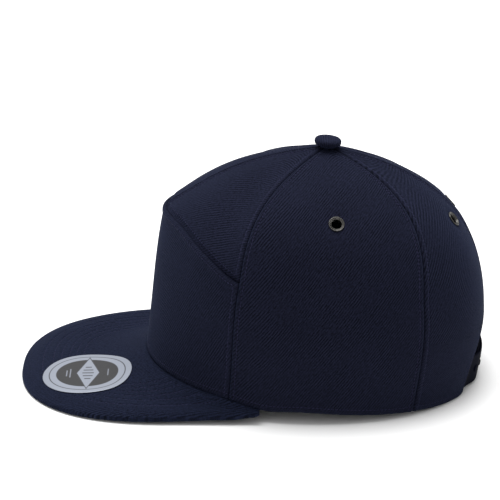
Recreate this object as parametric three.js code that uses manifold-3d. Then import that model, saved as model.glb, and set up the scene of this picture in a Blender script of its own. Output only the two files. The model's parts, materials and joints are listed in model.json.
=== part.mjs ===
// A flat-visor snapback cap: seven sewn panels, visor, button, four eyelets, sweatband and snap strap.
// Millimetres. The cap is drawn level on its hem, with -Y to the front, +X to the wearer's left and +Z up.
// It is then tipped onto the visor's front edge and the back hem, as it lies on a table.
import * as THREE from "three";
import { mergeVertices } from "three/addons/utils/BufferGeometryUtils.js";
import Module from "manifold-3d";

const wasm = await Module();
wasm.setup();

// Crown
const hemLength = 203.8;
const hemWidth = 164;
const hemBackSquareness = 2.15; // exponent of the hem's curve behind its middle, 2 being an ellipse
const crownHeight = 138.9;
const creaseHeight = 93; // height of the sloping seam on the front's centre line
const buttonForward = 3.4; // the panels meet this far in front of the hem's middle
const clothWall = 1.6;
const gap = 0.3; // clearance between pieces that touch
const topHoleRadius = 3;

// Seams, as turns about the button's axis away from the front, in degrees
const frontSeamTurn = 56.5;
const frontSeamSweep = -12; // how far each seam has swung round where it meets the button
const backSeamTurn = 132.8;
const backSeamSweep = 20;
const sweepPower = 1.4; // higher keeps the swing closer to the button

// Opening and closure at the back
const archWidth = 80;
const archHeight = 43;
const strapHeight = 20;
const strapLift = 2; // strap above the hem
const strapThickness = 1.2;
const strapTab = 12; // length of strap sewn in past the edge of the opening
const strapOverlap = 56;
const strapBow = 1; // how far the middle of the strap stands out past the crown's outer face
const snapPitch = 9.5;
const snapCount = 6;
const snapRadius = 2;

// Sweatband
const bandHeight = 31;
const bandThickness = 1;

// Visor
const visorLength = 75.2;
const visorWidth = 0.994 * hemWidth;
const visorWidest = 17; // the widest place, behind the front of the hem
const visorCornerTurn = 70;
const cornerOverhang = 4; // the visor's corners stand this far out past the hem
const visorDrop = 16; // even fall of the rim from its corners to its front
const visorDip = 4.6; // extra fall of the rim, all close to the corners
const visorDipShare = 0.11; // share of the visor's length in which the extra fall is over
// Fall of the visor's face from hem to rim, in shares: it dips at the hem, lies flatter and rounds off
// at the rim. The slopes are against a straight fall.
const visorFall = { middle: 0.5, fallen: 0.58, hemSlope: 2.4, middleSlope: 0.4, rimSlope: 1.8 };
const visorEndTaper = 0.035; // share of the rim, at each corner, in which the visor thins down
const visorEndThickness = 0.5;
const visorThickness = 3.2;
const visorRoundness = 2.4; // exponent of the edge's curve, 2 being an ellipse

// Trim
const buttonDiameter = 16.2;
const buttonHeight = 4.5;
const buttonLift = 2.9; // its edge stands this far over the cloth around it, on a neck of seams
const neckRadius = 4.9;
const postRadius = 2.2;
const postLength = 4.5;
const eyeletDiameter = 9.4;
const eyeletBore = 5.8;
const eyeletFlange = 0.7;
const stickerDiameter = 53.8;
const stickerThickness = 0.4;
const stickerAcross = 26; // centre of the sticker, towards the wearer's left
const stickerForward = 0.46; // centre of the sticker, as a share of the visor's length in front of the hem
const restPress = 0.4; // the cloth is pressed flat this far where it rests

// Shapes of the panels down the crown, a row for each turn away from the front.
// crease: height of the bend, as a share of creaseHeight
// reach: distance of the bend from the axis, as a share of the hem's
// hemLean, lowLean, highLean: inward lean in degrees at the hem, under the bend and over it
// peak: fall of the cloth away from the button, in degrees
const meridians = [
  { turn: 0, crease: 1, reach: 0.96, hemLean: 3, lowLean: 8, highLean: 53.5, peak: 11.4 },
  { turn: 20, crease: 0.988, reach: 0.934, hemLean: 2.5, lowLean: 9, highLean: 45, peak: 13.2 },
  { turn: 38, crease: 0.907, reach: 0.967, hemLean: 2, lowLean: 8, highLean: 36.5, peak: 15.7 },
  { turn: 57, crease: 0.8, reach: 1.006, hemLean: 1, lowLean: 10.2, highLean: 10.2, peak: 17 },
  { turn: 90, crease: 0.763, reach: 0.976, hemLean: -1, lowLean: 13, highLean: 13, peak: 14.3 },
  { turn: 126, crease: 0.731, reach: 0.984, hemLean: -3, lowLean: 14.6, highLean: 14.6, peak: 12.8 },
  { turn: 155, crease: 0.71, reach: 0.988, hemLean: -4.6, lowLean: 15.2, highLean: 15.2, peak: 11.7 },
  { turn: 180, crease: 0.71, reach: 0.968, hemLean: -6, lowLean: 15, highLean: 15, peak: 7.5 },
];
const leaveBend = 0.93; // pull of the curve over the bend
const meetButton = 1.62; // pull of the curve into the button

const radians = THREE.MathUtils.degToRad;
const degrees = THREE.MathUtils.radToDeg;
const lerp = THREE.MathUtils.lerp;
const smooth = (x, low, high) => THREE.MathUtils.smoothstep(x, low, high);

function hermite(p, q, slopeP, slopeQ, t) {
  const a = t * t * t;
  const b = t * t;
  return (2 * a - 3 * b + 1) * p + (a - 2 * b + t) * slopeP + (3 * b - 2 * a) * q + (a - b) * slopeQ;
}

// A column of the meridian table at any turn, on a smooth curve through its rows.
function meridianValue(column, turn) {
  const rows = meridians;
  const last = rows.length - 1;
  let i = 0;
  while (i < last - 1 && turn > rows[i + 1].turn) i += 1;
  const slopeAt = (k) =>
    k === 0 || k === last
      ? 0
      : (rows[k + 1][column] - rows[k - 1][column]) / (rows[k + 1].turn - rows[k - 1].turn);
  const span = rows[i + 1].turn - rows[i].turn;
  const share = (turn - rows[i].turn) / span;
  return hermite(rows[i][column], rows[i + 1][column], span * slopeAt(i), span * slopeAt(i + 1), share);
}

// Distance from the button's axis to the hem's curve, in the direction of a turn.
function hemReach(turn) {
  const outside = (reach) => {
    const x = (reach * Math.sin(radians(turn))) / (hemWidth / 2);
    const y = (-buttonForward - reach * Math.cos(radians(turn))) / (hemLength / 2);
    const power = y > 0 ? hemBackSquareness : 2;
    return Math.abs(x) ** power + Math.abs(y) ** power;
  };
  return whereReached(outside, 1, 0, hemLength);
}

// The place at which a rising or falling measure reaches a value.
function whereReached(measure, value, low, high) {
  const rising = measure(high) > measure(low);
  for (let k = 0; k < 30; k += 1) {
    const middle = (low + high) / 2;
    if (measure(middle) < value === rising) low = middle;
    else high = middle;
  }
  return (low + high) / 2;
}

// A meridian's distance from the axis and height: level 0 is the hem, 1 the bend and 2 the button.
function meridianAt(turn, level) {
  const side = 180 - Math.abs(180 - Math.abs(turn)); // both sides alike, and past the back as before it
  const hem = hemReach(side);
  const bend = { reach: meridianValue("reach", side) * hem, height: meridianValue("crease", side) * creaseHeight };
  if (level <= 1) {
    const chord = Math.hypot(hem - bend.reach, bend.height);
    const start = radians(meridianValue("hemLean", side));
    const end = radians(meridianValue("lowLean", side));
    return {
      reach: hermite(hem, bend.reach, -chord * Math.sin(start), -chord * Math.sin(end), level),
      height: hermite(0, bend.height, chord * Math.cos(start), chord * Math.cos(end), level),
    };
  }
  const chord = Math.hypot(bend.reach, crownHeight - bend.height);
  const start = radians(meridianValue("highLean", side));
  const end = radians(meridianValue("peak", side));
  const leave = leaveBend * chord;
  const meet = meetButton * chord;
  return {
    reach: hermite(bend.reach, 0, -leave * Math.sin(start), -meet * Math.cos(end), level - 1),
    height: hermite(bend.height, crownHeight, leave * Math.cos(start), meet * Math.sin(end), level - 1),
  };
}

function crownPoint(turn, level) {
  const { reach, height } = meridianAt(turn, level);
  const angle = radians(turn);
  return new THREE.Vector3(reach * Math.sin(angle), -buttonForward - reach * Math.cos(angle), height);
}

// Outward normal of the crown; across the bend it halves the angle, so that both panels are mitred.
function crownNormal(turn, level) {
  const step = 0.02;
  const round = crownPoint(turn + 1, level).sub(crownPoint(turn - 1, level));
  const up = crownPoint(turn, level + step).sub(crownPoint(turn, Math.max(level - step, 0)));
  return round.cross(up).normalize();
}

// A point set in from the crown's outer face. At the hem it is set in level, so that the hem stays flat.
function insetPoint(turn, level, inset) {
  const normal = crownNormal(turn, level);
  if (level === 0) normal.setZ(0).normalize();
  return crownPoint(turn, level).addScaledVector(normal, -inset);
}

const levelAtHeight = (turn, height) => whereReached((v) => meridianAt(turn, v).height, height, 0, 1.6);
const levelAtReach = (turn, reach) => whereReached((v) => meridianAt(turn, v).reach, reach, 1.2, 2);

// A closed solid through a row of rings with equal numbers of points. Each ring runs out along one
// face and back along the other, so its ends are closed by a ladder of faces between the two.
function ringSolid(rings, closed = false) {
  const count = rings[0].length;
  const triangles = [];
  const quad = (a, b, c, d) => triangles.push(a, b, c, a, c, d);
  const links = closed ? rings.length : rings.length - 1;
  for (let j = 0; j < links; j += 1) {
    const here = j * count;
    const next = ((j + 1) % rings.length) * count;
    for (let i = 0; i < count; i += 1) {
      const k = (i + 1) % count;
      quad(here + i, here + k, next + k, next + i);
    }
  }
  if (!closed) {
    const end = (rings.length - 1) * count;
    for (let i = 0; i < count / 2 - 1; i += 1) {
      const back = count - 1 - i;
      quad(i, back, back - 1, i + 1);
      quad(end + i, end + i + 1, end + back - 1, end + back);
    }
  }
  const points = rings.flat();
  const volume = triangles.reduce((sum, _, k) => {
    if (k % 3) return sum;
    const [a, b, c] = [points[triangles[k]], points[triangles[k + 1]], points[triangles[k + 2]]];
    return sum + a.dot(new THREE.Vector3().crossVectors(b, c));
  }, 0);
  if (volume < 0) triangles.reverse();
  const geometry = new THREE.BufferGeometry();
  geometry.setAttribute("position", new THREE.Float32BufferAttribute(points.flatMap((p) => p.toArray()), 3));
  geometry.setIndex(triangles);
  return geometry;
}

function toSolid(geometry) {
  const plain = geometry.clone();
  plain.deleteAttribute("normal");
  plain.deleteAttribute("uv");
  const merged = mergeVertices(plain, 1e-4);
  const vertProperties = new Float32Array(merged.attributes.position.array);
  const triVerts = new Uint32Array(merged.index.array);
  return new wasm.Manifold(new wasm.Mesh({ numProp: 3, vertProperties, triVerts }));
}

function toGeometry(solid) {
  const mesh = solid.getMesh();
  const geometry = new THREE.BufferGeometry();
  geometry.setAttribute("position", new THREE.Float32BufferAttribute(mesh.vertProperties, 3));
  geometry.setIndex(Array.from(mesh.triVerts));
  return geometry;
}

// Where the seams run: nearly straight up to the bend, then swinging round to the button.
function seamTurn(turn, sweep, level) {
  return turn + sweep * Math.max(0, level - 1) ** sweepPower;
}
const frontSeam = (level) => seamTurn(frontSeamTurn, frontSeamSweep, level);
const backSeam = (level) => seamTurn(backSeamTurn, backSeamSweep, level);

// Half of the back opening's width at a height, on an arch of half an ellipse.
function archHalfWidth(height) {
  return (archWidth / 2) * Math.sqrt(Math.max(0, 1 - (height / archHeight) ** 2));
}
const turnPerWidth = (level) => degrees(1 / meridianAt(180, level).reach);
const archTurn = (level) => 180 - archHalfWidth(meridianAt(180, level).height) * turnPerWidth(level);

// A panel between two seams. Its edges stand back half a gap from each seam.
function panelGeometry({ from, to, levels, columns, hand }) {
  const rings = levels.map((levelAt) => {
    const outer = [];
    const inner = [];
    for (let i = 0; i <= columns; i += 1) {
      const guess = levelAt((from(1) + to(1)) / 2);
      const setBack = degrees(gap / 2 / Math.max(meridianAt(from(guess), guess).reach, topHoleRadius));
      const turn = lerp(from(guess) + setBack, to(guess) - setBack, i / columns);
      const level = levelAt(turn);
      outer.push(insetPoint(turn * hand, level, 0));
      inner.push(insetPoint(turn * hand, level, clothWall));
    }
    return [...outer, ...inner.reverse()];
  });
  return ringSolid(rings);
}

const evenLevels = (low, high, count) =>
  Array.from({ length: count + 1 }, (_, k) => (turn) => lerp(low(turn), high(turn), k / count));
const atHem = () => 0;
const creaseGap = gap / 2 / creaseHeight;
const underCrease = () => 1 - creaseGap;
const overCrease = () => 1 + creaseGap;
const atTopHole = (turn) => levelAtReach(turn, topHoleRadius);

function frontPanel() {
  const levels = evenLevels(atHem, underCrease, 8);
  return panelGeometry({ from: (v) => -frontSeam(v), to: frontSeam, levels, columns: 22, hand: 1 });
}

function upperFrontPanel(hand) {
  const levels = evenLevels(overCrease, atTopHole, 8);
  return panelGeometry({ from: () => 0, to: frontSeam, levels, columns: 11, hand });
}

function sidePanel(hand) {
  const levels = evenLevels(atHem, atTopHole, 14);
  return panelGeometry({ from: frontSeam, to: backSeam, levels, columns: 12, hand });
}

// The back panel's rows close up towards the top of the opening, and go on evenly above it.
function backPanel(hand) {
  const archRows = 6;
  const upperRows = 10;
  const archLevels = Array.from({ length: archRows }, (_, k) => {
    const level = levelAtHeight(180, archHeight * Math.sin(((k / archRows) * Math.PI) / 2));
    return () => (k === 0 ? 0 : level);
  });
  const archTop = levelAtHeight(180, archHeight);
  const levels = [...archLevels, ...evenLevels(() => archTop, atTopHole, upperRows)];
  const to = (v) => (v < archTop ? archTurn(v) : 180);
  return panelGeometry({ from: backSeam, to, levels, columns: 10, hand });
}

// The sweatband lies inside the panels, and steps in over the strap's sewn ends.
function sweatband() {
  const columns = 60;
  const heights = [gap, bandHeight / 3, (2 * bandHeight) / 3, bandHeight];
  const levels = heights.map((height) => levelAtHeight(180, height));
  const tabEnd = archWidth / 2 + strapTab;
  const rings = levels.map((level) => {
    const outer = [];
    const inner = [];
    const end = archTurn(level);
    for (let i = 0; i <= columns; i += 1) {
      const turn = lerp(-end, end, i / columns);
      const fromBack = (180 - Math.abs(turn)) / turnPerWidth(level);
      const overStrap = (strapThickness + gap) * (1 - smooth(fromBack, tabEnd + 2, tabEnd + 10));
      const inset = clothWall + gap + overStrap;
      outer.push(insetPoint(turn, level, inset));
      inner.push(insetPoint(turn, level, inset + bandThickness));
    }
    return [...outer, ...inner.reverse()];
  });
  return ringSolid(rings);
}

// One half of the strap, from its sewn end past the opening to its round free end.
// Places along it are distances round the back from the centre, positive on its own side.
function strapGeometry(hand, depthAt) {
  const sewnEnd = archWidth / 2 + strapTab;
  const freeEnd = -strapOverlap / 2;
  const half = strapHeight / 2;
  const roundColumns = 4;
  const straightColumns = 20;
  const places = [];
  for (let k = 0; k < roundColumns; k += 1) {
    places.push(freeEnd + half * (1 - Math.cos(((k + 0.5) / roundColumns) * (Math.PI / 2))));
  }
  for (let k = 0; k <= straightColumns; k += 1) {
    places.push(lerp(freeEnd + half, sewnEnd, k / straightColumns));
  }
  const rings = places.map((place) => {
    const past = Math.max(0, freeEnd + half - place);
    const reach = Math.sqrt(half * half - past * past);
    const depth = depthAt(place);
    const corner = (height, inset) => {
      const level = levelAtHeight(180, height);
      return insetPoint(180 - hand * place * turnPerWidth(level), level, inset);
    };
    const low = strapLift + half - reach;
    const high = strapLift + half + reach;
    return [
      corner(low, depth),
      corner(high, depth),
      corner(high, depth + strapThickness),
      corner(low, depth + strapThickness),
    ];
  });
  return ringSolid(rings);
}

const snapPlaces = Array.from({ length: snapCount }, (_, k) => (k - (snapCount - 1) / 2) * snapPitch);

// A round pin square to the strap, between two depths under its outer layer's face.
function snapPin(place, radius, shallow, deep) {
  const level = levelAtHeight(180, strapLift + strapHeight / 2);
  const turn = 180 - place * turnPerWidth(level);
  const face = outerStrapDepth(place);
  const top = insetPoint(turn, level, face + shallow);
  const foot = insetPoint(turn, level, face + deep);
  const pin = new THREE.CylinderGeometry(radius, radius, top.distanceTo(foot), 10);
  const along = top.clone().sub(foot).normalize();
  pin.applyQuaternion(new THREE.Quaternion().setFromUnitVectors(new THREE.Vector3(0, 1, 0), along));
  const middle = top.add(foot).multiplyScalar(0.5);
  return pin.translate(middle.x, middle.y, middle.z);
}

const sewnDepth = clothWall + gap;
const studRise = 0.6; // studs stand out of their holes
const openingEdge = archHalfWidth(strapLift + strapHeight);

// Depth of the closure's outer layer under the crown's face: bowed out in the opening, sewn in beside it.
function outerStrapDepth(place) {
  return lerp(-strapBow, sewnDepth, smooth(Math.abs(place), openingEdge / 2, openingEdge - 1));
}

function strapWithHoles() {
  let solid = toSolid(strapGeometry(1, outerStrapDepth));
  for (const place of snapPlaces) {
    const drill = snapPin(place, snapRadius + gap, -2 * strapThickness, 3 * strapThickness);
    solid = solid.subtract(toSolid(drill));
  }
  return toGeometry(solid);
}

// The studs' half passes under the other half, then steps out to the cloth on its own side.
function strapWithStuds() {
  const under = strapThickness + gap;
  const clear = strapOverlap / 2 + 0.5;
  const depthAt = (place) => outerStrapDepth(place) + under * (1 - smooth(place, clear, openingEdge - 1));
  let solid = toSolid(strapGeometry(-1, depthAt));
  for (const place of snapPlaces) {
    const stud = snapPin(place, snapRadius, -studRise, under + strapThickness / 2);
    solid = solid.add(toSolid(stud));
  }
  return toGeometry(solid);
}

// The visor's outer edge from the tip, share 0, round to the corner on the hem, share 1.
const cornerPoint = crownPoint(visorCornerTurn, 0);
const tipForward = hemLength / 2 + visorLength;
const widestForward = hemLength / 2 - visorWidest;

function visorEdge(share) {
  const side = Math.sign(share) || 1;
  const along = Math.abs(share);
  const frontShare = 0.72;
  const power = 2 / visorRoundness;
  const half = visorWidth / 2;
  let x;
  let forward;
  if (along <= frontShare) {
    const angle = ((along / frontShare) * Math.PI) / 2;
    x = half * Math.sin(angle) ** power;
    forward = widestForward + (tipForward - widestForward) * Math.max(0, Math.cos(angle)) ** power;
  } else {
    const angle = (((along - frontShare) / (1 - frontShare)) * Math.PI) / 2;
    const cornerX = cornerPoint.x + cornerOverhang;
    const corner = -cornerPoint.y;
    x = cornerX + (half - cornerX) * Math.max(0, Math.cos(angle)) ** power;
    forward = widestForward + (corner - widestForward) * Math.sin(angle) ** power;
  }
  const fall = Math.max(0, (forward + cornerPoint.y) / (tipForward + cornerPoint.y));
  return new THREE.Vector3(side * x, -forward, -gap - visorDrop * fall - visorDip * smooth(fall, -0.05, visorDipShare));
}

function visorFallAt(reach) {
  const { middle, fallen, hemSlope, middleSlope, rimSlope } = visorFall;
  if (reach <= middle) return hermite(0, fallen, hemSlope * middle, middleSlope * middle, reach / middle);
  const rest = 1 - middle;
  return hermite(fallen, 1, middleSlope * rest, rimSlope * rest, (reach - middle) / rest);
}

// The visor's upper face: reach 0 is on the hem and 1 on the outer edge.
function visorPoint(share, reach) {
  const hem = crownPoint(share * visorCornerTurn, 0).setZ(-gap);
  const edge = visorEdge(share);
  const height = lerp(hem.z, edge.z, visorFallAt(reach));
  return hem.lerp(edge, reach).setZ(height);
}

// Each ring runs from under the panels out along the upper face, round the edge and back below.
function visor() {
  const shares = Array.from({ length: 45 }, (_, k) => k / 22 - 1);
  const reaches = [0.012, 0.1, 0.24, 0.42, 0.62, 0.82];
  const edgeSoftness = 1.1;
  const rings = shares.map((share) => {
    const inner = insetPoint(share * visorCornerTurn, 0, clothWall).setZ(-gap);
    const edge = visorPoint(share, 1);
    const hem = visorPoint(share, 0);
    const width = edge.distanceTo(hem);
    const soft = Math.min(edgeSoftness / width, 0.4);
    const top = [inner, ...reaches.map((reach) => visorPoint(share, reach * (1 - soft))), visorPoint(share, 1 - soft)];
    const thickness = lerp(visorThickness, visorEndThickness, smooth(Math.abs(share), 1 - visorEndTaper, 1));
    const below = (point, depth) => point.clone().setZ(point.z - depth);
    const bottom = top.map((point) => below(point, thickness)).reverse();
    return [...top, below(edge, thickness * 0.3), below(edge, thickness * 0.7), ...bottom];
  });
  return ringSolid(rings);
}

// Height of the visor's upper face over a spot, found on the line from hem to edge that crosses it.
function visorHeight(x, y) {
  const crossing = (share) => {
    const hem = visorPoint(share, 0);
    const edge = visorPoint(share, 1);
    return (edge.x - hem.x) * (y - hem.y) - (edge.y - hem.y) * (x - hem.x);
  };
  const share = whereReached(crossing, 0, -0.9, 0.9);
  const hem = visorPoint(share, 0);
  const edge = visorPoint(share, 1);
  const reach = Math.hypot(x - hem.x, y - hem.y) / Math.hypot(edge.x - hem.x, edge.y - hem.y);
  return visorPoint(share, reach).z;
}

// The sticker is a thin disc of chords, each laid on the visor's curved face.
function visorSticker() {
  const chords = 14;
  const columns = 10;
  const radius = stickerDiameter / 2;
  const rings = [];
  for (let j = 0; j <= chords; j += 1) {
    const along = -radius * Math.cos(((j + 0.35) / (chords + 0.7)) * Math.PI);
    const half = Math.sqrt(radius * radius - along * along);
    const row = (lift) =>
      Array.from({ length: columns + 1 }, (_, i) => {
        const x = stickerAcross + lerp(-half, half, i / columns);
        const y = along - hemLength / 2 - stickerForward * visorLength;
        return new THREE.Vector3(x, y, visorHeight(x, y) + gap + lift);
      });
    rings.push([...row(stickerThickness), ...row(0).reverse()]);
  }
  return ringSolid(rings);
}

// A flat dome on a short neck, which keeps its clearance from the cone of cloth around the top.
function topButton() {
  const radius = buttonDiameter / 2;
  const clothAt = (reach) => {
    const turns = meridians.map((row) => row.turn);
    return Math.max(...turns.map((turn) => meridianAt(turn, levelAtReach(turn, reach)).height));
  };
  const seat = clothAt(topHoleRadius) + gap;
  const low = clothAt(radius) + buttonLift;
  const profile = [
    [0, seat - postLength],
    [postRadius, seat - postLength],
    [postRadius, seat],
    [neckRadius, seat],
    [neckRadius, low + 0.15 * buttonHeight],
    [radius * 0.84, low + 0.16 * buttonHeight],
    [radius * 0.96, low + 0.32 * buttonHeight],
    [radius, low + 0.5 * buttonHeight],
    [radius * 0.96, low + 0.7 * buttonHeight],
    [radius * 0.82, low + 0.86 * buttonHeight],
    [radius * 0.5, low + 0.97 * buttonHeight],
    [0, low + buttonHeight],
  ];
  const geometry = new THREE.LatheGeometry(profile.map(([x, y]) => new THREE.Vector2(x, y)), 24);
  return geometry.rotateX(Math.PI / 2).translate(0, -buttonForward, 0);
}

// A rolled eyelet: a flange outside, a barrel through the cloth and a flange inside.
const eyeletBarrel = eyeletBore / 2 + 0.5;

function eyelet() {
  const radius = eyeletDiameter / 2;
  const bore = eyeletBore / 2;
  const outside = gap + eyeletFlange;
  const innerSeat = -clothWall - 2 * gap; // the cloth's inner face bends in towards the flange
  const inside = innerSeat - eyeletFlange;
  const profile = [
    [bore, inside + 0.3],
    [eyeletBarrel, inside],
    [radius - 0.4, inside],
    [radius - 0.4, inside + 0.5],
    [eyeletBarrel, innerSeat],
    [eyeletBarrel, gap],
    [radius, gap],
    [radius - 0.2, outside - 0.3],
    [radius - 0.85, outside],
    [bore + 0.35, outside - 0.1],
    [bore, outside - 0.6],
    [bore, inside + 0.3],
  ];
  return new THREE.LatheGeometry(profile.map(([x, y]) => new THREE.Vector2(x, y)), 16);
}

// Places of the wearer's-left eyelets; the right-hand ones mirror them.
const eyeletSpots = [
  { name: "eyelet_side", turn: 96.5, height: 0.804 * crownHeight, panel: "side_panel" },
  { name: "eyelet_back", turn: 169, height: 0.757 * crownHeight, panel: "back_panel" },
];

function placeOnCrown(geometry, turn, height) {
  const level = levelAtHeight(Math.abs(turn), height);
  const normal = crownNormal(turn, level);
  const spot = crownPoint(turn, level);
  geometry.applyQuaternion(new THREE.Quaternion().setFromUnitVectors(new THREE.Vector3(0, 1, 0), normal));
  return geometry.translate(spot.x, spot.y, spot.z);
}

function punched(geometry, spot, hand) {
  const drill = new THREE.CylinderGeometry(eyeletBarrel + gap, eyeletBarrel + gap, 4 * clothWall, 16);
  return toGeometry(toSolid(geometry).subtract(toSolid(placeOnCrown(drill, spot.turn * hand, spot.height))));
}

// Materials
const twill = () => new THREE.MeshStandardMaterial({ color: 0x1d2036, roughness: 0.93 });
const visorTwill = () => new THREE.MeshStandardMaterial({ color: 0x20253c, roughness: 0.9 });
const bandCloth = () => new THREE.MeshStandardMaterial({ color: 0x171a2c, roughness: 0.95 });
const snapPlastic = () => new THREE.MeshStandardMaterial({ color: 0x15182a, roughness: 0.45 });
const eyeletMetal = () => new THREE.MeshStandardMaterial({ color: 0x8a8a86, roughness: 0.35, metalness: 1 });
const foil = () => new THREE.MeshStandardMaterial({ color: 0xb4bac6, roughness: 0.4, metalness: 0.6 });

const cap = new THREE.Group();

function addPiece(name, geometry, material) {
  const piece = new THREE.Mesh(geometry, material);
  piece.name = name;
  cap.add(piece);
}

addPiece("front_panel", frontPanel(), twill());
for (const [side, hand] of [["left", 1], ["right", -1]]) {
  const panels = { side_panel: sidePanel(hand), back_panel: backPanel(hand) };
  for (const spot of eyeletSpots) {
    panels[spot.panel] = punched(panels[spot.panel], spot, hand);
    addPiece(`${spot.name}_${side}`, placeOnCrown(eyelet(), spot.turn * hand, spot.height), eyeletMetal());
  }
  addPiece(`upper_front_${side}`, upperFrontPanel(hand), twill());
  addPiece(`side_panel_${side}`, panels.side_panel, twill());
  addPiece(`back_panel_${side}`, panels.back_panel, twill());
}
addPiece("visor", visor(), visorTwill());
addPiece("visor_sticker", visorSticker(), foil());
addPiece("top_button", topButton(), twill());
addPiece("sweatband", sweatband(), bandCloth());
addPiece("strap_holes", strapWithHoles(), snapPlastic());
addPiece("strap_studs", strapWithStuds(), snapPlastic());

// Tip the cap until the visor's front edge and the hem beside the back opening share one level,
// press the cloth flat there, and put the origin on the table under the middle of the cap.
function layOnTable(group) {
  const front = visorPoint(0, 1);
  const back = crownPoint(archTurn(0), 0);
  const tilt = Math.atan2(visorThickness - front.z, back.y - front.y);
  const turnDown = new THREE.Matrix4().makeRotationX(-tilt);
  const meshes = group.children;
  for (const mesh of meshes) mesh.geometry.applyMatrix4(turnDown);
  const boxOf = () => new THREE.Box3().setFromObject(group, true);
  const floor = boxOf().min.z + restPress;
  for (const mesh of meshes) {
    const position = mesh.geometry.attributes.position;
    for (let i = 0; i < position.count; i += 1) position.setZ(i, Math.max(position.getZ(i), floor));
    mesh.geometry.computeBoundingBox();
  }
  const box = boxOf();
  const middle = box.getCenter(new THREE.Vector3());
  group.position.set(-middle.x, -middle.y, -box.min.z);
}
layOnTable(cap);

export default cap;
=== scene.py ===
import json
import math

import bmesh
import bpy
import numpy as np
from mathutils import Matrix, Vector
from mathutils.bvhtree import BVHTree

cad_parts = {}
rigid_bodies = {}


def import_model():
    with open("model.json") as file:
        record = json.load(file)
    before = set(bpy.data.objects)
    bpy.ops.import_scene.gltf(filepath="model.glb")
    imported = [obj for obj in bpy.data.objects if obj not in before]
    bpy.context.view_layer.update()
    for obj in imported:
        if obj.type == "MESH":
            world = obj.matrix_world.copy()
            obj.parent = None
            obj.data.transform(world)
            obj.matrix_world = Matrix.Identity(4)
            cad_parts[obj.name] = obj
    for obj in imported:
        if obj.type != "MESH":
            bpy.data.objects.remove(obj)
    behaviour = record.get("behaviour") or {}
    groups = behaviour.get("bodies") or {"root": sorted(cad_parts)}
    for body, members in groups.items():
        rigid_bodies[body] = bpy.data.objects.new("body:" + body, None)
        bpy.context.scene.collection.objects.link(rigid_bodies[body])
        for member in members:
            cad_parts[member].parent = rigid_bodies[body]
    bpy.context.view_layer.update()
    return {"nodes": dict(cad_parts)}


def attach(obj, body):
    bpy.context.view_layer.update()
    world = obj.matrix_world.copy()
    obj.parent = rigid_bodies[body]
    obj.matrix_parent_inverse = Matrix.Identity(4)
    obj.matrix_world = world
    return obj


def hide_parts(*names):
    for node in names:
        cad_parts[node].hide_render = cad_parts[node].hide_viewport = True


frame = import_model()
print("frame loaded:", len(frame["nodes"]), "CAD nodes")

# Lengths are in mm on a level cap, until onTable lays them on the table in metres.

studio = {
    "aim": (0, -0.00128, 0.07911),
    "distance": 1.6,
    "elevation": 22,
    "lens": 188.85,
    "sensorWidth": 36,
    "world": 0.68,
    # name, place, size, power
    "lights": [("topLight", (-0.25, -0.1, 1.5), 1.4, 36), ("frontLight", (0.9, -1.2, 0.8), 0.9, 0.8)],
    "floorColour": (0.86, 0.86, 0.86, 1),
    "floorSize": 6,
}


def addAreaLight(name, place, size, power):
    data = bpy.data.lights.new(name, "AREA")
    data.shape = "DISK"
    data.size = size
    data.energy = power
    light = bpy.data.objects.new(name, data)
    light.location = place
    light.rotation_mode = "QUATERNION"
    light.rotation_quaternion = (Vector(studio["aim"]) - Vector(place)).to_track_quat("-Z", "Y")
    bpy.context.scene.collection.objects.link(light)


def setUpLight():
    scene = bpy.context.scene
    scene.view_settings.view_transform = "Standard"
    world = bpy.data.worlds.new("studio")
    world.use_nodes = True
    background = world.node_tree.nodes["Background"]
    background.inputs["Color"].default_value = (1, 1, 1, 1)
    background.inputs["Strength"].default_value = studio["world"]
    scene.world = world
    for light in studio["lights"]:
        addAreaLight(*light)


def setUpCamera():
    scene = bpy.context.scene
    lift = math.radians(studio["elevation"])
    back = Vector((math.cos(lift), 0, math.sin(lift)))
    camera = bpy.data.objects.new("camera", bpy.data.cameras.new("camera"))
    camera.data.lens = studio["lens"]
    camera.data.sensor_width = studio["sensorWidth"]
    camera.location = Vector(studio["aim"]) + back * studio["distance"]
    camera.rotation_mode = "QUATERNION"
    camera.rotation_quaternion = (-back).to_track_quat("-Z", "Y")
    scene.collection.objects.link(camera)
    scene.camera = camera


def layFloor():
    bm = bmesh.new()
    bmesh.ops.create_grid(bm, x_segments=2, y_segments=2, size=studio["floorSize"])
    mesh = bpy.data.meshes.new("floor")
    bm.to_mesh(mesh)
    bm.free()
    floor = bpy.data.objects.new("floor", mesh)
    material = bpy.data.materials.new("paleFloor")
    material.use_nodes = True
    shader = material.node_tree.nodes["Principled BSDF"]
    shader.inputs["Base Color"].default_value = studio["floorColour"]
    shader.inputs["Roughness"].default_value = 1
    shader.inputs["Specular IOR Level"].default_value = 0
    mesh.materials.append(material)
    bpy.context.scene.collection.objects.link(floor)


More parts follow.
